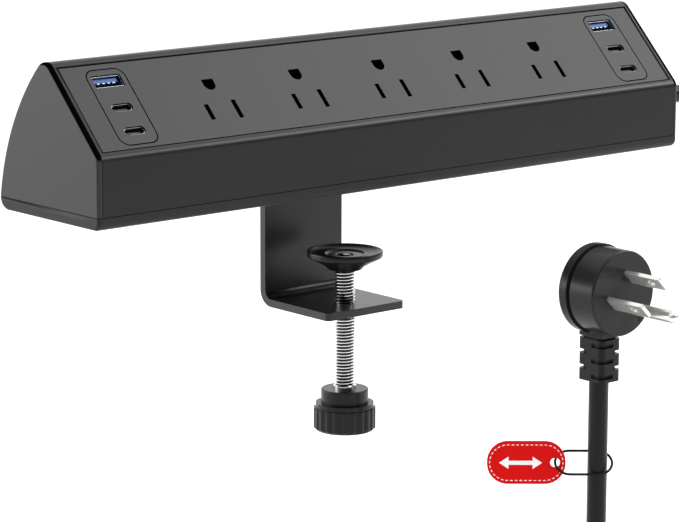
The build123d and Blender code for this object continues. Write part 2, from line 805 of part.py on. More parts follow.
# ---------------------------------------------------------------- free cord
drop_route = [
    (half + gland_length, gland_y, gland_z),
    (half + 52.5, gland_y, gland_z),
    (half + 73.3, 11.6, 2.2),
    (half + 86.9, 11.0, -18.8),
    (half + 90.1, 10.0, -56.0),
    (half + 90.5, 10.6, -112.0),
    (half + 85.5, 13.0, -158.0),
    (half + 72.0, 18.0, -189.0),
    (half + 46.5, 26.0, lying_z),
    (half + 14.5, 37.3, lying_z),
    (coil_x + 23.7, coil_entry_y, lying_z),
]
rise_route = [
    (plug_x, coil_y, top_turn_z),
    (plug_x, plug_cord_y + 25.5, top_turn_z),
    (plug_x, plug_cord_y, top_turn_z + 25.5),
    (plug_x, plug_cord_y, relief_bottom),
]


def bend_radii(route):
    """For each corner, 0.45 of its shorter run over the tangent of half its turn."""
    points = [Vector(*p) for p in route]
    radii = []
    for before, corner, after in zip(points, points[1:], points[2:]):
        one, two = corner - before, after - corner
        half_turn = radians(one.get_angle(two)) / 2
        radii.append(0.45 * min(one.length, two.length) / tan(half_turn))
    return radii


def cord_tube(route):
    """A free stretch of the cord: straight runs joined by arcs."""
    radii = bend_radii(route)
    path = FilletPolyline(*route, radius=radii)
    tube = sweep((path ^ 0) * Circle(cord_radius), path=path)
    filled = tube.volume / (pi * cord_radius**2 * path.length)
    print("cord bends, mm:", [round(r, 1) for r in radii], "volume ratio:", round(filled, 4))
    return tube


def power_cord_coil():
    """The spare cord's coil, as one plain ring of its outer shape."""
    width = coil_across * cord_diameter
    ring = Pos(coil_radius, floor_z + coil_height / 2) * RectangleRounded(width, coil_height, cord_radius)
    return Pos(coil_x, coil_y, 0) * revolve(Plane.XZ * ring, Axis.Z)


def coil_turns():
    """Turns of the coil that make the whole cord up to its stated length."""
    free = Polyline(*drop_route).length + Polyline(*rise_route).length
    return (cord_length - free) / (2 * pi * coil_radius)


print("turns in the coil:", round(coil_turns(), 1))

tie_gap = 0.9
tie_thickness = 1.2
tie_width = 12.0


def cord_tie():
    """Strap round the coil's bundle of turns."""
    across = coil_across * cord_diameter + 2 * tie_gap
    tall = coil_height + tie_gap
    outer = block(
        (coil_radius - across / 2 - tie_thickness, -tie_width / 2, floor_z),
        (coil_radius + across / 2 + tie_thickness, tie_width / 2, floor_z + tall + tie_thickness),
    )
    inner = block(
        (coil_radius - across / 2, -tie_width, floor_z - 1),
        (coil_radius + across / 2, tie_width, floor_z + tall),
    )
    return Pos(coil_x, coil_y, 0) * Rot(0, 0, -40) * (outer - inner)


# ---------------------------------------------------------------- plug
blade_axis = Vector(-sin(radians(45)), 0, -cos(radians(45)))
earth_axis = Vector(sin(radians(45)), 0, -cos(radians(45)))
plug_middle = Vector(plug_x, plug_face_y, plug_z)
blades_middle = plug_middle - earth_axis * plug_pin_shift


def plug_place(across, towards_earth, depth=0.0):
    """A point on the plug's face, from the middle of the two blades, and behind the face."""
    return blades_middle + blade_axis * across + earth_axis * towards_earth + Vector(0, depth, 0)




def plug_body():
    """Moulded plug: round front, a groove, and a slightly wider rear rim."""
    front_end = plug_face_y + plug_front_depth
    groove_end = front_end + plug_groove
    back = groove_end + plug_rim_depth
    x, z = plug_x, plug_z
    front = rod((x, plug_face_y, z), (x, front_end, z), plug_diameter / 2)
    front = fillet([e for e in front.edges() if abs(e.center().Y - plug_face_y) < 1e-3], 0.8)
    groove = rod((x, front_end, z), (x, groove_end, z), plug_diameter / 2 - 1.0)
    rim = rod((x, groove_end, z), (x, back, z), plug_rim_diameter / 2)
    rim = fillet([e for e in rim.edges() if abs(e.center().Y - back) < 1e-3], 2.4)
    body = front + groove + rim
    neck = block(
        (x - relief_width / 2, plug_cord_y - relief_depth / 2, relief_top),
        (x + relief_width / 2, plug_cord_y + relief_depth / 2, plug_z - 6),
    )
    body = body + neck
    for across in (-blade_spacing / 2, blade_spacing / 2):
        body = body - blade_bar(across, 0, pin_root_length)
    earth = plug_place(0, ground_offset)
    return body - rod(earth, earth + Vector(0, pin_root_length, 0), pin_root_radius)


def blade_bar(across, front, depth):
    """The plain bar of one blade, from front (negative: out of the face) to a depth behind it."""
    start = plug_place(across, 0, front)
    frame = Plane(origin=start, x_dir=blade_axis, z_dir=(0, 1, 0))
    return extrude(frame * Rectangle(blade_thickness, blade_width), amount=depth - front)


def blade(across):
    """Flat blade with a tapered tip and its round hole."""
    bar = blade_bar(across, -blade_length, pin_root_length)
    tip = [e for e in bar.edges() if abs(e.center().Y - (plug_face_y - blade_length)) < 1e-3]
    bar = chamfer(tip, 0.45)
    hole = plug_place(across, 0, -blade_length + 6.0)
    return bar - rod(hole - blade_axis * 3, hole + blade_axis * 3, 1.6)


def ground_pin():
    """Round earth pin with a domed tip."""
    root = plug_place(0, ground_offset)
    radius = pin_diameter / 2
    pin = rod(root, root - Vector(0, pin_length, 0), radius)
    tip = [e for e in pin.edges() if abs(e.center().Y - (plug_face_y - pin_length)) < 1e-3]
    return fillet(tip, radius - 0.05) + rod(root + Vector(0, pin_root_length, 0), root, pin_root_radius)


def plug_strain_relief():
    """Sleeve below the plug, made limp by slots round its corners: one pair, then the other."""
    x, y = plug_x, plug_cord_y
    core = block((x - 4.4, y - 5.2, relief_bottom), (x + 4.4, y + 5.2, relief_top))
    core = fillet(core.edges().filter_by(Axis.Z), 2.0)
    half_width, half_depth = relief_width / 2 + 0.6, relief_depth / 2 + 0.4
    pitch = relief_block + relief_groove
    sleeve_top = relief_bottom + relief_blocks * pitch - relief_groove
    low, high = (x - half_width, y - half_depth), (x + half_width, y + half_depth)
    sleeve = block((*low, relief_bottom), (*high, sleeve_top))
    sleeve = fillet(sleeve.edges().filter_by(Axis.Z), 2.2)
    for i in range(relief_blocks):
        front_slot = relief_bottom + i * pitch + relief_slot_rise
        side_slot = relief_bottom + i * pitch + relief_block
        for end in (-1, 1):
            corner = (x + end * half_width, y + end * half_depth)
            sleeve = sleeve - relief_slot(corner, front_slot, (half_width + 0.8, half_depth - 1.0))
            corner = (x + end * half_width, y - end * half_depth)
            sleeve = sleeve - relief_slot(corner, side_slot, (half_width - 0.9, half_depth - 1.5))
    return sleeve + core - rod((x, y, relief_bottom - 1), (x, y, relief_top + 1), cord_radius)


def relief_slot(corner, low, reach):
    """Cutter of one slot: a plate round a corner of the sleeve, as far as it reaches each way."""
    x, y = corner
    return Pos(x, y, low + relief_groove / 2) * Box(2 * reach[0], 2 * reach[1], relief_groove)


def plug_cord_end():
    """Cord inside the strain relief, up to the plug's body."""
    return rod((plug_x, plug_cord_y, relief_bottom), (plug_x, plug_cord_y, relief_top), cord_radius)


# ---------------------------------------------------------------- tag
tag_width = 30.0
tag_height = 16.8
tag_thickness = 1.0
tag_setback = 27.1  # its middle, out from the cord
tag_z = -105.4
tag_turn = -40.6  # degrees about the cord, from +X
tag_hole_setback = 16.1
tag_hole_radius = 1.9
loop_radius = 0.5
loop_lean = 38.0


def tag_frame():
    """Upright plane through the cord's axis that the tag lies in."""
    turn = radians(tag_turn)
    return Plane(
        origin=(plug_x, plug_cord_y, tag_z),
        x_dir=(cos(turn), sin(turn), 0),
        z_dir=(sin(turn), -cos(turn), 0),
    )


def length_tag():
    """Flat soft tag with round ends and an eyelet hole."""
    outline = Pos(-tag_setback, 0) * RectangleRounded(tag_width, tag_height, tag_height / 2 - 0.4)
    outline = outline - Pos(-tag_hole_setback, 0) * Circle(tag_hole_radius)
    return tag_frame() * extrude(outline, amount=tag_thickness / 2, both=True)


def tag_loop():
    """Elastic loop through the tag's hole and round the cord."""
    clear = (cord_radius + loop_radius + 0.15) / cos(radians(loop_lean))
    reach = tag_hole_setback - clear
    outline = Pos(-reach / 2, 0) * SlotCenterToCenter(reach, 2 * clear)
    path = tag_frame().location * Rot(90 + loop_lean, 0, 0) * outline.wires()[0]
    return sweep((path ^ 0) * Circle(loop_radius), path=path)


# ---------------------------------------------------------------- nodes
save("main_shell", main_shell())
save("bottom_cover", bottom_cover())
save("case_screws", *case_screws())
save("left_end_cap", end_cap(-1))
save("right_end_cap", end_cap(1))
save("face_panel", face_panel())
for side, middle in usb_xs.items():
    save(f"usb_bezel_{side}", usb_bezel(middle))
    save(f"usb_a_shell_{side}", usb_a_shell(middle))
    save(f"usb_a_tongue_{side}", usb_a_tongue(middle))
    for level, rise in usb_c_rises.items():
        save(f"usb_c_shell_{level}_{side}", usb_c_shell(middle, rise))
        save(f"usb_c_tongue_{level}_{side}", usb_c_tongue(middle, rise))
    save(f"usb_board_{side}", usb_board(middle))
    save(f"usb_components_{side}", *usb_parts(middle))
save("contact_carrier", contact_carrier())
save("carrier_lid", carrier_lid())
save("line_strip", line_strip())
save("neutral_strip", neutral_strip())
save("earth_strip", earth_strip())
for name, core in core_wires().items():
    save(f"{name}_wire", core)
save("clamp_bracket", clamp_bracket())
save("bracket_screws", *bracket_screws())
save("bracket_nuts", *bracket_nuts())
save("clamp_screw", clamp_screw())
save("swivel_ball", swivel_ball())
save("pressure_pad", pressure_pad())
save("clamp_knob", clamp_knob())
save("cord_gland", cord_gland())
save("cord_clamp", cord_clamp())
save("inner_sheath", inner_sheath())
save("power_cord_drop", cord_tube(drop_route))
save("power_cord_coil", power_cord_coil())
save("power_cord_rise", cord_tube(rise_route))
save("cord_tie", cord_tie())
save("plug_body", plug_body())
save("plug_strain_relief", plug_strain_relief())
save("plug_cord_end", plug_cord_end())
save("line_blade", blade(-blade_spacing / 2))
save("neutral_blade", blade(blade_spacing / 2))
save("ground_pin", ground_pin())
save("length_tag", length_tag())
save("tag_loop", tag_loop())
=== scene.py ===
import json
import math

import bmesh
import bpy
from mathutils import Matrix, Vector

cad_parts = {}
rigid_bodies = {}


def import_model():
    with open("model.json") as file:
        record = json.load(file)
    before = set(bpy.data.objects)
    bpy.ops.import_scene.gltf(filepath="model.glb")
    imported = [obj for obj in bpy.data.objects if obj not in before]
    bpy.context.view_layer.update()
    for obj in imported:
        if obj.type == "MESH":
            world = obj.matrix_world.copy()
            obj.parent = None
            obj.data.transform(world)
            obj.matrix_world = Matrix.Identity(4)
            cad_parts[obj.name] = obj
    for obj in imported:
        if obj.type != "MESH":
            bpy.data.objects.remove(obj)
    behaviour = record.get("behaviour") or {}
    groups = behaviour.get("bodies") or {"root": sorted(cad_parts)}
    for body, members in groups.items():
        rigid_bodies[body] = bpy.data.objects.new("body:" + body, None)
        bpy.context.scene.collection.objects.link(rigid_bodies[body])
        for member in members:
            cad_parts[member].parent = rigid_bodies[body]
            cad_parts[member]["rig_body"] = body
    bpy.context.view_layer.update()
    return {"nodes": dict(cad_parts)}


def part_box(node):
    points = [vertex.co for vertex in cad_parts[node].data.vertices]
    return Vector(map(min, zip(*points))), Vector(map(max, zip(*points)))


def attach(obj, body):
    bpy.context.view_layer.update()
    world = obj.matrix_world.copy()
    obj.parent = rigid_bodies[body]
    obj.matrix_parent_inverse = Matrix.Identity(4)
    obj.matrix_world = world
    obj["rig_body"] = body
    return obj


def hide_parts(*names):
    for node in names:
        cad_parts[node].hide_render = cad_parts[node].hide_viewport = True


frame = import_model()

mm = 0.001

# Casing: one long wedge-shaped moulding closed by a cap at each end, in ABS with a fine satin
# grain from the mould. It looks grey-black, with soft highlights on its rounded edges.


def linear(code):
    """An sRGB hex colour, as the linear colour that a shader takes."""
    channels = [int(code[i : i + 2], 16) / 255 for i in (1, 3, 5)]
    return [c / 12.92 if c <= 0.04045 else ((c + 0.055) / 1.055) ** 2.4 for c in channels] + [1.0]


def add_node(tree, kind, inputs, **settings):
    """Adds one node. An input is a number, a colour or another node's output."""
    node = tree.nodes.new(kind)
    for name, value in settings.items():
        setattr(node, name, value)
    for name, value in inputs.items():
        if isinstance(value, bpy.types.NodeSocket):
            tree.links.new(value, node.inputs[name])
        else:
            node.inputs[name].default_value = value
    return node


def start_material(name):
    """A new material with nothing in it but its place on the piece."""
    material = bpy.data.materials.new(name)
    material.use_nodes = True
    tree = material.node_tree
    tree.nodes.clear()
    return material, tree, add_node(tree, "ShaderNodeTexCoord", {}).outputs["Object"]


def finish_material(tree, sockets):
    """Ends a material in its shader, whose plain numbers and colours are set on it directly."""
    shader = add_node(tree, "ShaderNodeBsdfPrincipled", sockets)
    add_node(tree, "ShaderNodeOutputMaterial", {"Surface": shader.outputs[0]})


def moulded_plastic(name, colour, cloud_colour, roughness, grain, depth, specular, painted_dark_band=None):
    """Injection-moulded plastic: a fine sparked grain, and a faint cloudiness from the flow.
    A painted dark band is a direction and the two shares of it that a surface's normal has where it
    is painted near black without gloss, as painted shade on the walls of seams and holes and as a
    painted dark reflection on a rounded rim, and where it is as moulded."""
    material, tree, place = start_material(name)
    grit = add_node(tree, "ShaderNodeTexNoise", {"Vector": place, "Scale": 1 / grain, "Detail": 2.0})
    flow = add_node(tree, "ShaderNodeTexNoise", {"Vector": place, "Scale": 22.0, "Detail": 3.0})
    cloud = add_node(
        tree,
        "ShaderNodeMix",
        {0: flow.outputs["Fac"], 6: linear(colour), 7: linear(cloud_colour)},
        data_type="RGBA",
    )
    sheen = add_node(
        tree,
        "ShaderNodeMapRange",
        {"Value": grit.outputs["Fac"], "To Min": roughness - 0.05, "To Max": roughness + 0.05},
    )
    bump = add_node(
        tree, "ShaderNodeBump", {"Height": grit.outputs["Fac"], "Strength": 0.35, "Distance": depth}
    )
    sockets = {
        "Base Color": cloud.outputs[2],
        "Roughness": sheen.outputs[0],
        "Specular IOR Level": specular,
        "Normal": bump.outputs[0],
    }
    # Painted shade and painted dark reflection: faces turned away from the band's direction are painted
    # near black and lose their gloss.
    if painted_dark_band:
        direction, black, moulded = painted_dark_band
        normal = add_node(tree, "ShaderNodeTexCoord", {}).outputs["Normal"]
        along = add_node(tree, "ShaderNodeVectorMath", {0: normal, 1: direction}, operation="DOT_PRODUCT")
        facing = add_node(tree, "ShaderNodeMath", {0: along.outputs["Value"]}, operation="ABSOLUTE")
        unshaded_share = add_node(
            tree,
            "ShaderNodeMapRange",
            {"Value": facing.outputs[0], "From Min": black, "From Max": moulded},
        )
        shade = add_node(
            tree,
            "ShaderNodeMix",
            {0: unshaded_share.outputs[0], 6: linear("#050505"), 7: cloud.outputs[2]},
            data_type="RGBA",
        )
        gloss = add_node(tree, "ShaderNodeMath", {0: unshaded_share.outputs[0], 1: specular}, operation="MULTIPLY")
        sockets["Base Color"] = shade.outputs[2]
        sockets["Specular IOR Level"] = gloss.outputs[0]
    finish_material(tree, sockets)
    return material


def make_piece(name, shape, material, body, smooth=32, outwards=True):
    """Turns a bmesh in the shared frame into a piece that rides on a CAD body."""
    bmesh.ops.remove_doubles(shape, verts=shape.verts, dist=1e-6)
    if outwards:
        bmesh.ops.recalc_face_normals(shape, faces=shape.faces)
    mesh = bpy.data.meshes.new(name)
    shape.to_mesh(mesh)
    shape.free()
    mesh.materials.append(material)
    mesh.shade_smooth()
    mesh.set_sharp_from_angle(angle=math.radians(smooth))
    piece = bpy.data.objects.new(name, mesh)
    bpy.context.scene.collection.objects.link(piece)
    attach(piece, body)
    return piece


def smooth_copy(node, material, smooth=32):
    """Stands a merged copy of a CAD node in for it, so that its curves are shaded as curves."""
    source = frame["nodes"][node]
    shape = bmesh.new()
    shape.from_mesh(source.data)
    bmesh.ops.remove_doubles(shape, verts=shape.verts, dist=2e-6)
    bmesh.ops.dissolve_limit(
        shape, angle_limit=math.radians(0.3), verts=shape.verts, edges=shape.edges
    )
    piece = make_piece(
        node + "_smooth", shape, material, source["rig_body"], smooth, outwards=False
    )
    weigh = piece.modifiers.new("even shading", "WEIGHTED_NORMAL")
    weigh.keep_sharp = True
    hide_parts(node)
    return piece


def paint(material, *nodes):
    """Gives CAD nodes whose shape is right a finish."""
    for node in nodes:
        for slot in frame["nodes"][node].material_slots:
            slot.material = material


# The casing's ABS is set darker than the face plate's (#2a2a2a), though both are one plastic: painted
# shade for its front face.
satin_abs = moulded_plastic("satin moulded ABS", "#151515", "#191919", 0.32, 0.35 * mm, 0.02 * mm, 0.2)
# The caps' rims that face up and down are painted near black: a painted dark reflection along the slope
# and painted shade along the bottom.
cap_abs = moulded_plastic(
    "satin ABS cap with a painted dark rim",
    "#292929",
    "#2c2c2c",
    0.42,
    0.35 * mm,
    0.02 * mm,
    0.22,
    ((0.0, 0.0, 1.0), 0.3, 0.1),
)
smooth_copy("main_shell", satin_abs)
smooth_copy("left_end_cap", cap_abs)
smooth_copy("right_end_cap", cap_abs)

# Bottom cover: the tray that closes the casing from below, moulded in the same ABS with a
# coarser grain, and the zinc-plated screws that go up through it into the casing.

textured_abs = moulded_plastic(
    "textured moulded ABS", "#1d1d1d", "#222222", 0.5, 0.6 * mm, 0.05 * mm, 0.18
)
smooth_copy("bottom_cover", textured_abs)


def plated_steel(name, colour, roughness, crystal):
    """Zinc-plated steel: a bright grey with faint crystals from the bath."""
    material, tree, place = start_material(name)
    crystals = add_node(tree, "ShaderNodeTexVoronoi", {"Vector": place, "Scale": 1 / crystal})
    sheen = add_node(
        tree,
        "ShaderNodeMapRange",
        {"Value": crystals.outputs["Distance"], "To Min": roughness - 0.04, "To Max": roughness + 0.05},
    )
    finish_material(
        tree, {"Base Color": linear(colour), "Metallic": 1.0, "Roughness": sheen.outputs[0]}
    )
    return material


zinc_plate = plated_steel("zinc-plated steel", "#b9bbbd", 0.3, 0.5 * mm)
paint(zinc_plate, "case_screws")

# Outlet face: a flush plate in the same satin ABS, let into the casing and held by its clips,
# with the slots and the round earth holes of the outlets cut through it.

slope_angle = math.radians(45.5)
# Painted shade: on the face plate and the port inserts, faces turned away from the slope, such as the
# walls of the seams, slots, holes and port openings, are painted near black.
face_painted_shade = ((0.0, -math.sin(slope_angle), math.cos(slope_angle)), 0.8, 0.97)
panel_abs = moulded_plastic(
    "satin ABS face plate", "#2a2a2a", "#2e2e2e", 0.42, 0.3 * mm, 0.015 * mm, 0.27, face_painted_shade
)
smooth_copy("face_panel", panel_abs)

# USB modules: a rounded insert at each end of the outlet face, with a folded steel port that
# has a blue tongue, two small oblong ports, and a circuit board with its parts behind.

insert_abs = moulded_plastic(
    "satin ABS port insert", "#2a2a2a", "#2d2d2d", 0.4, 0.3 * mm, 0.015 * mm, 0.27, face_painted_shade
)
bright_nickel = plated_steel("nickel-plated sheet steel", "#cfd0d1", 0.2, 0.8 * mm)
dark_nickel = plated_steel("dull nickel port shell", "#8e8e90", 0.32, 0.8 * mm)
blue_tongue = moulded_plastic(
    "blue moulded nylon", "#00417d", "#004c94", 0.35, 0.4 * mm, 0.01 * mm, 0.5
)
black_tongue = moulded_plastic(
    "black moulded nylon", "#242424", "#292929", 0.4, 0.4 * mm, 0.01 * mm, 0.4
)


def circuit_board_finish():
    """Glass-fibre board: green solder mask over the faint lines of its copper tracks."""
    material, tree, place = start_material("green solder mask")
    tracks = add_node(
        tree,
        "ShaderNodeTexBrick",
        {
            "Vector": place,
            "Scale": 1 / (6 * mm),
            "Color1": linear("#0b4a24"),
            "Color2": linear("#0e5a2c"),
            "Mortar": linear("#1c7a3c"),
            "Mortar Size": 0.03,
        },
    )
    finish_material(tree, {"Base Color": tracks.outputs["Color"], "Roughness": 0.3})
    return material


solder_mask = circuit_board_finish()
potting = moulded_plastic("black epoxy and sleeve", "#131313", "#1c1c1c", 0.3, 0.5 * mm, 0.02 * mm, 0.5)
for side in ("left", "right"):
    smooth_copy(f"usb_bezel_{side}", insert_abs)
    paint(bright_nickel, f"usb_a_shell_{side}")
    paint(blue_tongue, f"usb_a_tongue_{side}")
    for level in ("upper", "lower"):
        smooth_copy(f"usb_c_shell_{level}_{side}", dark_nickel)
        paint(black_tongue, f"usb_c_tongue_{level}_{side}")
    paint(solder_mask, f"usb_board_{side}")
    paint(potting, f"usb_components_{side}")

contact_size = (1.0 * mm, 0.3 * mm, 4.4 * mm, 1)
contact_places = (-3.4 * mm, -1.1 * mm, 1.1 * mm, 3.4 * mm)
contact_depth = -0.95 * mm  # on the tongue's lower face
contact_reach = 3.0 * mm  # towards its open end
contact_shape = bmesh.new()
for side in ("left", "right"):
    tongue_low, tongue_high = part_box(f"usb_a_tongue_{side}")
    tongue_middle = Matrix.Translation((tongue_low + tongue_high) / 2)
    tongue_turn = Matrix.Rotation(slope_angle, 4, "X")
    for across in contact_places:
        place = Matrix.Translation((across, contact_depth, contact_reach)) @ Matrix.Diagonal(contact_size)
        bmesh.ops.create_cube(contact_shape, size=1, matrix=tongue_middle @ tongue_turn @ place)
make_piece("usb_a_contacts", contact_shape, bright_nickel, "strip")

# Outlet contacts: stamped brass strips in a black nylon tray behind the face, and the three
# insulated wires that bring the cord's cores to them.


def stamped_brass():
    """Bare rolled brass: a warm metal with fine lines along the strip, its sheen a little dulled, and
    its colour set darker than polished brass as painted shade deep in the outlet holes.
    """
    material, tree, place = start_material("stamped brass")
    rolled = add_node(tree, "ShaderNodeMapping", {"Vector": place, "Scale": (20.0, 2500.0, 2500.0)})
    lines = add_node(tree, "ShaderNodeTexNoise", {"Vector": rolled.outputs[0], "Scale": 1.0})
    dull = add_node(
        tree, "ShaderNodeMapRange", {"Value": lines.outputs["Fac"], "To Min": 0.35, "To Max": 0.5}
    )
    # Painted shade: the brass colour is darker than polished brass, for the contacts deep in the outlet
    # holes.
    finish_material(
        tree, {"Base Color": linear("#8c6c36"), "Metallic": 1.0, "Roughness": dull.outputs[0]}
    )
    return material


brass = stamped_brass()
black_nylon = moulded_plastic(
    "black glass-filled nylon", "#121212", "#161616", 0.5, 0.5 * mm, 0.02 * mm, 0.3
)
paint(black_nylon, "contact_carrier", "carrier_lid", "cord_clamp")
paint(brass, "line_strip", "neutral_strip", "earth_strip")
wire_colours = {
    "line": ("#141414", "#191919"),
    "neutral": ("#dcdcd8", "#e6e6e2"),
    "earth": ("#1d7a35", "#228a3d"),
}
for core, (shade, light_shade) in wire_colours.items():
    vinyl = moulded_plastic(f"{core} wire vinyl", shade, light_shade, 0.38, 0.8 * mm, 0.01 * mm, 0.5)
    smooth_copy(f"{core}_wire", vinyl)

# Clamp bracket: one strip of 3 mm steel folded to a C and powder coated satin black, held in
# the cover's pocket by four countersunk screws and nuts. The coat has a fine orange peel.


def powder_coat():
    """Satin black powder coat: a slight orange peel, and a film whose tone drifts faintly."""
    material, tree, place = start_material("satin black powder coat")
    peel = add_node(tree, "ShaderNodeTexNoise", {"Vector": place, "Scale": 1 / (0.9 * mm), "Detail": 2.0})
    drift = add_node(tree, "ShaderNodeTexNoise", {"Vector": place, "Scale": 40.0, "Detail": 2.0})
    film = add_node(
        tree,
        "ShaderNodeMix",
        {0: drift.outputs["Fac"], 6: linear("#121212"), 7: linear("#161616")},
        data_type="RGBA",
    )
    bump = add_node(
        tree, "ShaderNodeBump", {"Height": peel.outputs["Fac"], "Strength": 0.2, "Distance": 0.03 * mm}
    )
    finish_material(
        tree,
        {
            "Base Color": film.outputs[2],
            "Roughness": 0.34,
            "Specular IOR Level": 0.35,
            "Normal": bump.outputs[0],
        },
    )
    return material


satin_coat = powder_coat()
smooth_copy("clamp_bracket", satin_coat)
paint(zinc_plate, "bracket_screws", "bracket_nuts")

# Clamp screw: a rolled right-hand thread, bright zinc plated, with a collar at the knob and a
# turned-down tip whose end is peened over the ball inside the pad.

screw_low, screw_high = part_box("clamp_screw")
screw_axis = Vector(((screw_low.x + screw_high.x) / 2, (screw_low.y + screw_high.y) / 2, 0))
pad_low, pad_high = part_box("pressure_pad")
knob_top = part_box("clamp_knob")[1].z
thread_crest = 3.95 * mm
thread_root = 3.2 * mm
thread_pitch = 1.25 * mm
thread_steps = 36
thread_bottom = knob_top - 4 * mm
thread_top = pad_low.z - 1.1 * mm
tip_radius = 2.0 * mm
collar_radius = 4.5 * mm
collar_height = 1.6 * mm


def turned(outline, axis, steps=64):
    """A closed turned shape: an outline of (radius, height), spun about an upright axis."""
    shape = bmesh.new()
    points = [shape.verts.new((axis.x + radius, axis.y, height)) for radius, height in outline]
    edges = [shape.edges.new(pair) for pair in zip(points, points[1:])]
    bmesh.ops.spin(
        shape,
        geom=points + edges,
        cent=(axis.x, axis.y, 0),
        axis=(0, 0, 1),
        dvec=(0, 0, 0),
        angle=math.tau,
        steps=steps,
        use_merge=True,
        use_duplicate=False,
    )
    return shape


def add_shape(shape, other):
    """Adds one bmesh to another and frees it."""
    mesh = bpy.data.meshes.new("joined")
    other.to_mesh(mesh)
    other.free()
    shape.from_mesh(mesh)
    bpy.data.meshes.remove(mesh)


def rolled_thread():
    """One flank profile, spun up the axis by a pitch a turn and cut square at both ends."""
    shape = bmesh.new()
    start = thread_bottom - thread_pitch
    profile = [
        (thread_root, 0.0),
        (thread_root, 0.1),
        (thread_crest, 0.42),
        (thread_crest, 0.58),
        (thread_root, 0.9),
        (thread_root, 1.0),
    ]
    points = [
        shape.verts.new((screw_axis.x + radius, screw_axis.y, start + share * thread_pitch))
        for radius, share in profile
    ]
    edges = [shape.edges.new(pair) for pair in zip(points, points[1:])]
    turns = math.ceil((thread_top - start) / thread_pitch) + 1
    bmesh.ops.spin(
        shape,
        geom=points + edges,
        cent=(screw_axis.x, screw_axis.y, 0),
        axis=(0, 0, 1),
        dvec=(0, 0, thread_pitch / thread_steps),
        angle=math.tau * turns,
        steps=thread_steps * turns,
        use_merge=False,
        use_duplicate=False,
    )
    bmesh.ops.remove_doubles(shape, verts=shape.verts, dist=2e-6)
    for height, outward in ((thread_bottom, -1), (thread_top, 1)):
        cut = bmesh.ops.bisect_plane(
            shape,
            geom=shape.verts[:] + shape.edges[:] + shape.faces[:],
            dist=1e-7,
            plane_co=(0, 0, height),
            plane_no=(0, 0, outward),
            clear_outer=True,
        )
        rim = [e for e in cut["geom_cut"] if isinstance(e, bmesh.types.BMEdge)]
        bmesh.ops.edgeloop_fill(shape, edges=rim)
    return shape


screw_shape = rolled_thread()
collar = turned(
    [
        (thread_root, knob_top - 0.2 * mm),
        (collar_radius, knob_top - 0.2 * mm),
        (collar_radius, knob_top + collar_height - 0.4 * mm),
        (collar_radius - 0.4 * mm, knob_top + collar_height),
        (thread_root, knob_top + collar_height),
        (thread_root, knob_top - 0.2 * mm),
    ],
    screw_axis,
)
add_shape(screw_shape, collar)
tip = turned(
    [
        (0, thread_top - 0.2 * mm),
        (tip_radius, thread_top - 0.2 * mm),
        (tip_radius, screw_high.z - 0.7 * mm),
        (tip_radius + 0.5 * mm, screw_high.z - 0.65 * mm),
        (tip_radius, screw_high.z - 0.1 * mm),
        (tip_radius - 0.5 * mm, screw_high.z),
        (0, screw_high.z),
    ],
    screw_axis,
)
add_shape(screw_shape, tip)


def bright_zinc():
    """Bright zinc on a rolled thread: nearly a mirror on its crests, and painted dark grey towards the
    roots as painted shade."""
    material, tree, place = start_material("bright zinc plate")
    from_axis = add_node(
        tree, "ShaderNodeVectorMath", {0: place, 1: screw_axis}, operation="SUBTRACT"
    )
    level = add_node(
        tree,
        "ShaderNodeVectorMath",
        {0: from_axis.outputs[0], 1: (1.0, 1.0, 0.0)},
        operation="MULTIPLY",
    )
    radius = add_node(tree, "ShaderNodeVectorMath", {0: level.outputs[0]}, operation="LENGTH")
    unshaded_crest_share = add_node(
        tree,
        "ShaderNodeMapRange",
        {
            "Value": radius.outputs["Value"],
            "From Min": thread_root + 0.05 * mm,
            "From Max": thread_crest - 0.15 * mm,
        },
    )
    # Painted shade: dark grey in the thread's roots, brightening to the plate's own colour on its crests.
    tone = add_node(
        tree,
        "ShaderNodeMix",
        {0: unshaded_crest_share.outputs[0], 6: linear("#2a2a2a"), 7: linear("#d9dadb")},
        data_type="RGBA",
    )
    streaks = add_node(
        tree, "ShaderNodeTexNoise", {"Vector": place, "Scale": 1 / (0.6 * mm), "Detail": 3.0}
    )
    sheen = add_node(
        tree, "ShaderNodeMapRange", {"Value": streaks.outputs["Fac"], "To Min": 0.08, "To Max": 0.2}
    )
    finish_material(
        tree, {"Base Color": tone.outputs[2], "Metallic": 1.0, "Roughness": sheen.outputs[0]}
    )
    return material


bright_plate = bright_zinc()
screw_piece = make_piece("clamp_screw_thread", screw_shape, bright_plate, "screw", 40)
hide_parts("clamp_screw")

# Pressure pad: a glossy moulded dish with a raised rim and a stepped floor, swivelling on a
# steel ball that is snapped into its neck. It spreads the clamp's push over the desk.

ball_steel = plated_steel("oiled turned steel", "#8f9092", 0.35, 0.7 * mm)
smooth_copy("swivel_ball", ball_steel, 60)
pad_axis = Vector(((pad_low.x + pad_high.x) / 2, (pad_low.y + pad_high.y) / 2, 0))
rim_z = pad_high.z
pad_outline = [
    (3.3, -7.3),
    (6.6, -7.3),
    (6.9, -7.1),
    (7.7, -6.0),
    (13.9, -2.75),
    (14.6, -2.35),
    (14.8, -1.95),
    (14.8, -0.35),
    (14.7, -0.1),
    (14.45, 0.0),
    (14.2, -0.05),
    (13.7, -0.4),
    (12.4, -1.25),
    (10.8, -1.45),
    (9.3, -1.35),
    (8.6, -1.05),
    (8.1, -1.0),
    (7.6, -1.25),
    (7.2, -1.65),
    (6.2, -1.75),
    (3.6, -1.7),
    (3.3, -1.8),
    (3.3, -7.3),
]
pad_shape = turned([(radius * mm, rim_z + height * mm) for radius, height in pad_outline], pad_axis, 96)


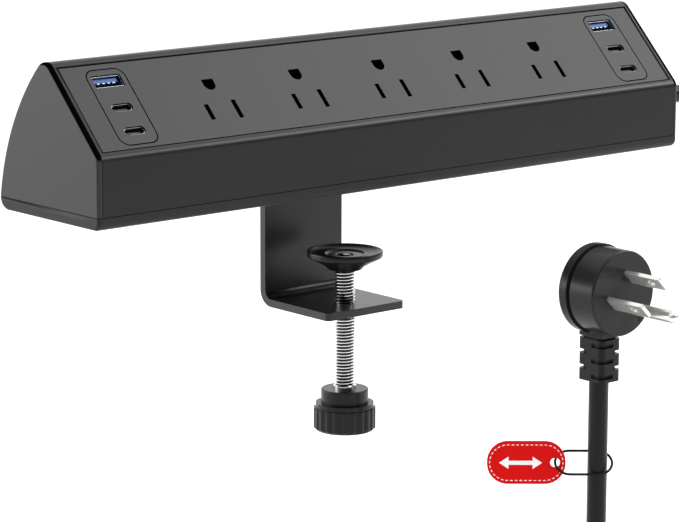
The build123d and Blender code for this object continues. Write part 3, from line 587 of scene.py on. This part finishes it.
def gloss_moulding():
    """Glossy moulded nylon: near black, with a smooth skin that mirrors the lights softly."""
    material, tree, place = start_material("glossy moulded nylon")
    sink = add_node(tree, "ShaderNodeTexNoise", {"Vector": place, "Scale": 1 / (3 * mm), "Detail": 1.0})
    bump = add_node(
        tree, "ShaderNodeBump", {"Height": sink.outputs["Fac"], "Strength": 0.15, "Distance": 0.05 * mm}
    )
    sheen = add_node(
        tree, "ShaderNodeMapRange", {"Value": sink.outputs["Fac"], "To Min": 0.26, "To Max": 0.34}
    )
    finish_material(
        tree,
        {
            "Base Color": linear("#121212"),
            "Roughness": sheen.outputs[0],
            "Specular IOR Level": 0.2,
            "Normal": bump.outputs[0],
        },
    )
    return material


gloss_nylon = gloss_moulding()
pad_piece = make_piece("pressure_pad_dish", pad_shape, gloss_nylon, "pad", 50)
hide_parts("pressure_pad")

# Clamp knob: a satin black moulding on the foot of the screw, with a plain hub, a shoulder and
# a grip with shallow flutes for the fingers.

knob_abs = moulded_plastic(
    "satin black knob moulding", "#151515", "#181818", 0.3, 0.4 * mm, 0.02 * mm, 0.18
)
smooth_copy("clamp_knob", knob_abs, 28)

# Cord entry: a ribbed vinyl strain relief pushed through the right end cap, with the cord's
# own jacket inside it.


def drawn_vinyl(name, colour, roughness):
    """Extruded soft vinyl: smooth, with a dull gloss and faint draw marks."""
    material, tree, place = start_material(name)
    marks = add_node(tree, "ShaderNodeTexNoise", {"Vector": place, "Scale": 1 / (1.5 * mm), "Detail": 2.0})
    sheen = add_node(
        tree,
        "ShaderNodeMapRange",
        {"Value": marks.outputs["Fac"], "To Min": roughness - 0.05, "To Max": roughness + 0.05},
    )
    bump = add_node(
        tree, "ShaderNodeBump", {"Height": marks.outputs["Fac"], "Strength": 0.1, "Distance": 0.05 * mm}
    )
    finish_material(
        tree,
        {
            "Base Color": linear(colour),
            "Roughness": sheen.outputs[0],
            "Specular IOR Level": 0.16,
            "Normal": bump.outputs[0],
        },
    )
    return material


relief_vinyl = drawn_vinyl("soft black vinyl", "#151515", 0.4)
jacket_vinyl = drawn_vinyl("black vinyl cord jacket", "#0f0f0f", 0.3)
smooth_copy("cord_gland", relief_vinyl)
smooth_copy("inner_sheath", jacket_vinyl)

# Mains cord: twenty feet of round three-core cord in a black vinyl jacket. It drops from the
# strip's right end, lies in a neat tied coil on the floor, and rises to the plug.

cord_diameter = 7.6 * mm
cord_radius = cord_diameter / 2
floor_z = -210 * mm
lying_z = floor_z + cord_radius
gland_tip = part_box("cord_gland")[1].x
coil_low, coil_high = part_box("power_cord_coil")
coil_x, coil_y = (coil_low.x + coil_high.x) / 2, (coil_low.y + coil_high.y) / 2
outer_turn = (coil_high.x - coil_low.x) / 2 - cord_radius
inner_turn = outer_turn - 4 * cord_diameter
top_turn_z = coil_high.z - cord_radius
turn_points = 24
climb_points = 6

drop_route = [
    (gland_tip, 12 * mm, 13.5 * mm),
    (198 * mm, 12 * mm, 13.5 * mm),
    (218.8 * mm, 11.6 * mm, 2.2 * mm),
    (232.4 * mm, 11 * mm, -18.8 * mm),
    (235.6 * mm, 10 * mm, -56 * mm),
    (236 * mm, 10.6 * mm, -112 * mm),
    (231 * mm, 13 * mm, -158 * mm),
    (217.5 * mm, 18 * mm, -189 * mm),
    (192 * mm, 26 * mm, lying_z),
    (160 * mm, 37.3 * mm, lying_z),
    (139.1 * mm, 46.5 * mm, lying_z),
]
rise_route = [
    (49.2 * mm, -58.4 * mm, top_turn_z),
    (49.2 * mm, -83.9 * mm, top_turn_z + 25.5 * mm),
    (49.2 * mm, -83.9 * mm, -119.6 * mm),
    (49.2 * mm, -83.9 * mm, -72.7 * mm),
]


def coil_turns():
    """The wound turns: a spiral inwards, a climb of one diameter, a spiral outwards on top of
    it, and so on for four layers. The cord leaves half a turn before the last one is full."""
    rows = [(outer_turn, -1, 4.0), (inner_turn, 1, 4.0), (outer_turn, -1, 4.0), (inner_turn, 1, 3.5)]
    reach = 1 / math.cos(math.pi / turn_points)  # control points lie outside their curve
    points = []
    step = 0.5
    for layer, (first_radius, way, turns) in enumerate(rows):
        spiral = [
            (first_radius + way * cord_diameter * i / turn_points, 0)
            for i in range(int(turns * turn_points))
        ]
        last_radius = first_radius + way * cord_diameter * turns
        climb = [
            (last_radius, (1 - math.cos(math.pi * i / climb_points)) / 2) for i in range(climb_points)
        ]
        for radius, rise in spiral + (climb if layer < len(rows) - 1 else []):
            angle = math.pi / 2 + math.tau * step / turn_points
            points.append(
                (
                    coil_x + radius * reach * math.cos(angle),
                    coil_y + radius * reach * math.sin(angle),
                    lying_z + (layer + rise) * cord_diameter,
                )
            )
            step += 1
    return points


cord_points = drop_route + coil_turns() + rise_route
cord_curve = bpy.data.curves.new("power_cord", "CURVE")
cord_curve.dimensions = "3D"
cord_spline = cord_curve.splines.new("NURBS")
cord_spline.points.add(len(cord_points) - 1)
for control, point in zip(cord_spline.points, cord_points):
    control.co = (*point, 1)
cord_spline.order_u = 3
cord_spline.use_endpoint_u = True
cord_spline.resolution_u = 4
cord_curve.bevel_depth = cord_radius
cord_curve.bevel_resolution = 5
cord_curve.use_fill_caps = True
cord_curve.materials.append(jacket_vinyl)
cord_piece = bpy.data.objects.new("power_cord", cord_curve)
bpy.context.scene.collection.objects.link(cord_piece)
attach(cord_piece, "strip")
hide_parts("power_cord_drop", "power_cord_coil", "power_cord_rise")

# Coil tie: a woven nylon strap with a sewn end, closed round the bundle of turns.

tie_turn = math.radians(-40)
tie_width = 12 * mm
tie_radii = (inner_turn - cord_radius - 0.5 * mm, outer_turn + cord_radius + 0.5 * mm)
tie_thickness = 1.2 * mm
tie_floor = floor_z + 0.1 * mm
tie_top = coil_high.z + 0.5 * mm
rib_scale = 1 / (1.6 * mm * math.tau / 20)  # ribs about 0.16 mm apart


def woven_nylon():
    """Woven nylon webbing: ribs across the strap at every thread, and a soft dull sheen."""
    material, tree, place = start_material("woven nylon strap")
    lie = add_node(
        tree, "ShaderNodeMapping", {"Vector": place, "Rotation": (0, 0, -tie_turn)}
    )
    ribs = add_node(
        tree,
        "ShaderNodeTexWave",
        {"Vector": lie.outputs[0], "Scale": rib_scale, "Distortion": 0.4},
        bands_direction="X",
    )
    bump = add_node(
        tree, "ShaderNodeBump", {"Height": ribs.outputs["Fac"], "Strength": 0.6, "Distance": 0.15 * mm}
    )
    tone = add_node(
        tree,
        "ShaderNodeMix",
        {0: ribs.outputs["Fac"], 6: linear("#0e0e0e"), 7: linear("#1d1d1d")},
        data_type="RGBA",
    )
    finish_material(
        tree,
        {"Base Color": tone.outputs[2], "Roughness": 0.75, "Sheen Weight": 0.3, "Normal": bump.outputs[0]},
    )
    return material


nylon_strap = woven_nylon()


def strap_loop():
    """A flat band, round the bundle: an outline in the bundle's section, rounded at its corners
    and given the strap's width and thickness."""
    shape = bmesh.new()
    corners = [
        (tie_radii[0], tie_floor),
        (tie_radii[1], tie_floor),
        (tie_radii[1], tie_top),
        (tie_radii[0], tie_top),
    ]
    points = [shape.verts.new((radius, 0, height)) for radius, height in corners]
    shape.faces.new(points)
    bmesh.ops.bevel(
        shape,
        geom=[p for p in points if p.co.z > coil_low.z + 5 * mm],
        offset=3.5 * mm,
        offset_type="OFFSET",
        segments=6,
        profile=0.5,
        affect="VERTICES",
        material=-1,
    )
    bmesh.ops.delete(shape, geom=shape.faces[:], context="FACES_ONLY")
    grown = bmesh.ops.extrude_edge_only(shape, edges=shape.edges[:])
    verts = [v for v in grown["geom"] if isinstance(v, bmesh.types.BMVert)]
    bmesh.ops.translate(shape, verts=verts, vec=(0, tie_width, 0))
    bmesh.ops.recalc_face_normals(shape, faces=shape.faces)
    bmesh.ops.solidify(shape, geom=shape.faces[:], thickness=-tie_thickness / 2)
    bmesh.ops.translate(shape, verts=shape.verts, vec=(0, -tie_width / 2, 0))
    bmesh.ops.rotate(shape, verts=shape.verts, cent=(0, 0, 0), matrix=Matrix.Rotation(tie_turn, 3, "Z"))
    bmesh.ops.translate(shape, verts=shape.verts, vec=(coil_x, coil_y, 0))
    return shape


tie_piece = make_piece("cord_tie_strap", strap_loop(), nylon_strap, "strip")
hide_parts("cord_tie")

# Plug: a round low-profile mains plug moulded in black vinyl over its blades, with a groove,
# a slightly wider back rim and a slotted strain relief below.

plug_vinyl = moulded_plastic(
    "satin moulded vinyl", "#1f1f1f", "#232323", 0.26, 0.35 * mm, 0.015 * mm, 0.15
)
smooth_copy("plug_body", plug_vinyl)
smooth_copy("plug_strain_relief", relief_vinyl)
smooth_copy("plug_cord_end", jacket_vinyl)


def nickel_plate():
    """Bright nickel on stamped brass: a warm mirror with fine lines from the press."""
    material, tree, place = start_material("bright nickel plate")
    lines = add_node(tree, "ShaderNodeMapping", {"Vector": place, "Scale": (3000.0, 120.0, 3000.0)})
    fine = add_node(tree, "ShaderNodeTexNoise", {"Vector": lines.outputs[0], "Scale": 1.0})
    sheen = add_node(
        tree, "ShaderNodeMapRange", {"Value": fine.outputs["Fac"], "To Min": 0.15, "To Max": 0.19}
    )
    finish_material(
        tree, {"Base Color": linear("#dddcd9"), "Metallic": 0.7, "Roughness": sheen.outputs[0]}
    )
    return material


blade_nickel = nickel_plate()
for prong in ("line_blade", "neutral_blade", "ground_pin"):
    smooth_copy(prong, blade_nickel)

# Length tag: a soft red tag with round ends, a sewn white edge and a white double arrow, hung
# from the cord by an elastic loop through its hole.

tag_turn = math.radians(-40.6)
tag_face = Vector((math.sin(tag_turn), -math.cos(tag_turn), 0))
tag_across = Vector((math.cos(tag_turn), math.sin(tag_turn), 0))
cord_line = Vector((*rise_route[-1][:2], 0))
tag_middle = sum(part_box("length_tag"), Vector()) / 2
tag_width = 30 * mm
tag_thickness = 1.0 * mm
tag_corner = 8.0 * mm


def tag_matrix():
    """Turns a flat shape in X and Y so that it lies on the tag, with Z out of its face."""
    rows = Matrix((tag_across, Vector((0, 0, 1)), tag_face)).transposed().to_4x4()
    return Matrix.Translation((cord_line.x, cord_line.y, tag_middle.z)) @ rows


def red_felt():
    """Dyed soft plastic-coated felt: an even red with a slight nap."""
    material, tree, place = start_material("red coated felt")
    nap = add_node(tree, "ShaderNodeTexNoise", {"Vector": place, "Scale": 1 / (0.5 * mm), "Detail": 4.0})
    tone = add_node(
        tree,
        "ShaderNodeMix",
        {0: nap.outputs["Fac"], 6: linear("#c40404"), 7: linear("#de0a0a")},
        data_type="RGBA",
    )
    bump = add_node(
        tree, "ShaderNodeBump", {"Height": nap.outputs["Fac"], "Strength": 0.4, "Distance": 0.08 * mm}
    )
    finish_material(
        tree,
        {
            "Base Color": tone.outputs[2],
            "Roughness": 0.6,
            "Specular IOR Level": 0.1,
            "Normal": bump.outputs[0],
        },
    )
    return material


def white_thread():
    """White cotton thread: bright and matt, twisted finely."""
    material, tree, place = start_material("white cotton thread")
    twist = add_node(
        tree, "ShaderNodeTexNoise", {"Vector": place, "Scale": 1 / (0.25 * mm), "Detail": 1.0}
    )
    tone = add_node(
        tree,
        "ShaderNodeMix",
        {0: twist.outputs["Fac"], 6: linear("#e6e6e6"), 7: linear("#fbfbfb")},
        data_type="RGBA",
    )
    finish_material(tree, {"Base Color": tone.outputs[2], "Roughness": 0.8})
    return material


felt = red_felt()
cotton = white_thread()
tag_setback = -27.1 * mm
tag_piece = smooth_copy("length_tag", felt)

stitch_length = 1.3 * mm
stitch_inset = 1.0 * mm
stitch_count = 40
stitch_shape = bmesh.new()
stitch_radius = tag_corner - stitch_inset
straight = tag_width - 2 * tag_corner
bend = math.pi * stitch_radius
around = 2 * straight + 2 * bend
for number in range(stitch_count):
    travel = around * number / stitch_count
    outward = Vector((0, stitch_radius, 0))
    if travel < straight:
        heading = 0.0
        spot = Vector((travel - straight / 2, stitch_radius, 0))
    elif travel < straight + bend:
        heading = -(travel - straight) / stitch_radius
        spot = Vector((straight / 2, 0, 0)) + Matrix.Rotation(heading, 3, "Z") @ outward
    elif travel < 2 * straight + bend:
        heading = math.pi
        spot = Vector((straight / 2 - (travel - straight - bend), -stitch_radius, 0))
    else:
        heading = math.pi - (travel - 2 * straight - bend) / stitch_radius
        spot = Vector((-straight / 2, 0, 0)) + Matrix.Rotation(heading, 3, "Z") @ outward
    place = (
        Matrix.Translation(spot + Vector((tag_setback, 0, tag_thickness / 2)))
        @ Matrix.Rotation(heading, 4, "Z")
        @ Matrix.Diagonal((stitch_length, 0.45 * mm, 0.3 * mm, 1))
    )
    bmesh.ops.create_icosphere(stitch_shape, subdivisions=1, radius=0.5, matrix=place)
bmesh.ops.transform(stitch_shape, matrix=tag_matrix(), verts=stitch_shape.verts)
stitch_piece = make_piece("tag_stitching", stitch_shape, cotton, "strip", 60)

arrow_shape = bmesh.new()
arrow_middle = -29.3 * mm
arrow_sink = 0.1 * mm  # into the tag, so that no gap shows below it
arrow_half, head, shaft, barb = 8.2 * mm, 3.6 * mm, 0.8 * mm, 2.4 * mm
arrow_outline = [
    (-arrow_half, 0),
    (-arrow_half + head, -barb),
    (-arrow_half + head, -shaft),
    (arrow_half - head, -shaft),
    (arrow_half - head, -barb),
    (arrow_half, 0),
    (arrow_half - head, barb),
    (arrow_half - head, shaft),
    (-arrow_half + head, shaft),
    (-arrow_half + head, barb),
]
arrow_face = arrow_shape.faces.new(
    [
        arrow_shape.verts.new((x + arrow_middle, y, tag_thickness / 2 - arrow_sink))
        for x, y in arrow_outline
    ]
)
grown = bmesh.ops.extrude_face_region(arrow_shape, geom=[arrow_face])
bmesh.ops.translate(
    arrow_shape,
    verts=[v for v in grown["geom"] if isinstance(v, bmesh.types.BMVert)],
    vec=(0, 0, 0.25 * mm),
)
bmesh.ops.transform(arrow_shape, matrix=tag_matrix(), verts=arrow_shape.verts)
arrow_piece = make_piece("tag_arrow", arrow_shape, cotton, "strip")

elastic = drawn_vinyl("black braided elastic", "#0f0f0f", 0.6)
smooth_copy("tag_loop", elastic)

# Studio: a plain pale floor, soft lights round the object, and a long lens that looks down on
# it from the left.


def studio_paper():
    """Matt white backdrop paper."""
    material, tree, place = start_material("white backdrop paper")
    fibre = add_node(tree, "ShaderNodeTexNoise", {"Vector": place, "Scale": 1 / (2 * mm), "Detail": 2.0})
    tone = add_node(
        tree,
        "ShaderNodeMix",
        {0: fibre.outputs["Fac"], 6: linear("#f6f6f6"), 7: linear("#fbfbfb")},
        data_type="RGBA",
    )
    finish_material(tree, {"Base Color": tone.outputs[2], "Roughness": 0.9})
    return material


floor_shape = bmesh.new()
bmesh.ops.create_grid(floor_shape, x_segments=1, y_segments=1, size=8.0)
bmesh.ops.translate(floor_shape, verts=floor_shape.verts, vec=(0, 0, floor_z - 0.3 * mm))
floor_mesh = bpy.data.meshes.new("floor")
floor_shape.to_mesh(floor_mesh)
floor_shape.free()
floor_mesh.materials.append(studio_paper())
floor = bpy.data.objects.new("floor", floor_mesh)
bpy.context.scene.collection.objects.link(floor)

world = bpy.data.worlds.new("studio")
world.use_nodes = True
sky = world.node_tree
sky.nodes.clear()
direction = add_node(sky, "ShaderNodeTexCoord", {}).outputs["Generated"]
towards_back = add_node(
    sky,
    "ShaderNodeVectorMath",
    {0: direction, 1: (0.1, 0.6, 0.79)},
    operation="DOT_PRODUCT",
)
brightness = add_node(
    sky,
    "ShaderNodeMapRange",
    {
        "Value": towards_back.outputs["Value"],
        "From Min": -0.2,
        "From Max": 0.5,
        "To Min": 0.03,
        "To Max": 1.45,
    },
    interpolation_type="SMOOTHSTEP",
)
glow = add_node(
    sky, "ShaderNodeBackground", {"Color": linear("#ffffff"), "Strength": brightness.outputs[0]}
)
add_node(sky, "ShaderNodeOutputWorld", {"Surface": glow.outputs[0]})
bpy.context.scene.world = world


def softbox(name, place, target, width, height, power):
    """A soft rectangular light that faces a point."""
    light = bpy.data.lights.new(name, "AREA")
    light.shape = "RECTANGLE"
    light.size, light.size_y = width, height
    light.energy = power
    lamp = bpy.data.objects.new(name, light)
    lamp.location = place
    lamp.rotation_euler = (Vector(target) - Vector(place)).to_track_quat("-Z", "Y").to_euler()
    bpy.context.scene.collection.objects.link(lamp)


softbox("left light", (-0.95, 1.0, 0.3), (0, 0, 0), 0.9, 0.8, 10)
softbox("top light", (0.95, -0.3, 1.1), (0, 0, 0), 1.0, 0.8, 6)
softbox("edge light", (1.0, -0.9, 0.7), (0, 0, 0), 1.1, 0.25, 14)

yaw, pitch, roll = 0.7086812, 0.1985857, 0.0025042
ahead = Vector((math.sin(yaw) * math.cos(pitch), math.cos(yaw) * math.cos(pitch), -math.sin(pitch)))
level = Vector((math.cos(yaw), -math.sin(yaw), 0))
upright = level.cross(ahead)
right = math.cos(roll) * level + math.sin(roll) * upright
above = math.cos(roll) * upright - math.sin(roll) * level
camera_place = (-0.79382, -0.91589, 0.21034)
lens = bpy.data.cameras.new("camera")
lens.lens = 169.41
lens.sensor_width = 36
lens.clip_start, lens.clip_end = 0.05, 30
camera = bpy.data.objects.new("camera", lens)
camera.matrix_world = Matrix.Translation(camera_place) @ Matrix(
    (right, above, -ahead)
).transposed().to_4x4()
bpy.context.scene.collection.objects.link(camera)
bpy.context.scene.camera = camera
bpy.context.scene.view_settings.view_transform = "Standard"
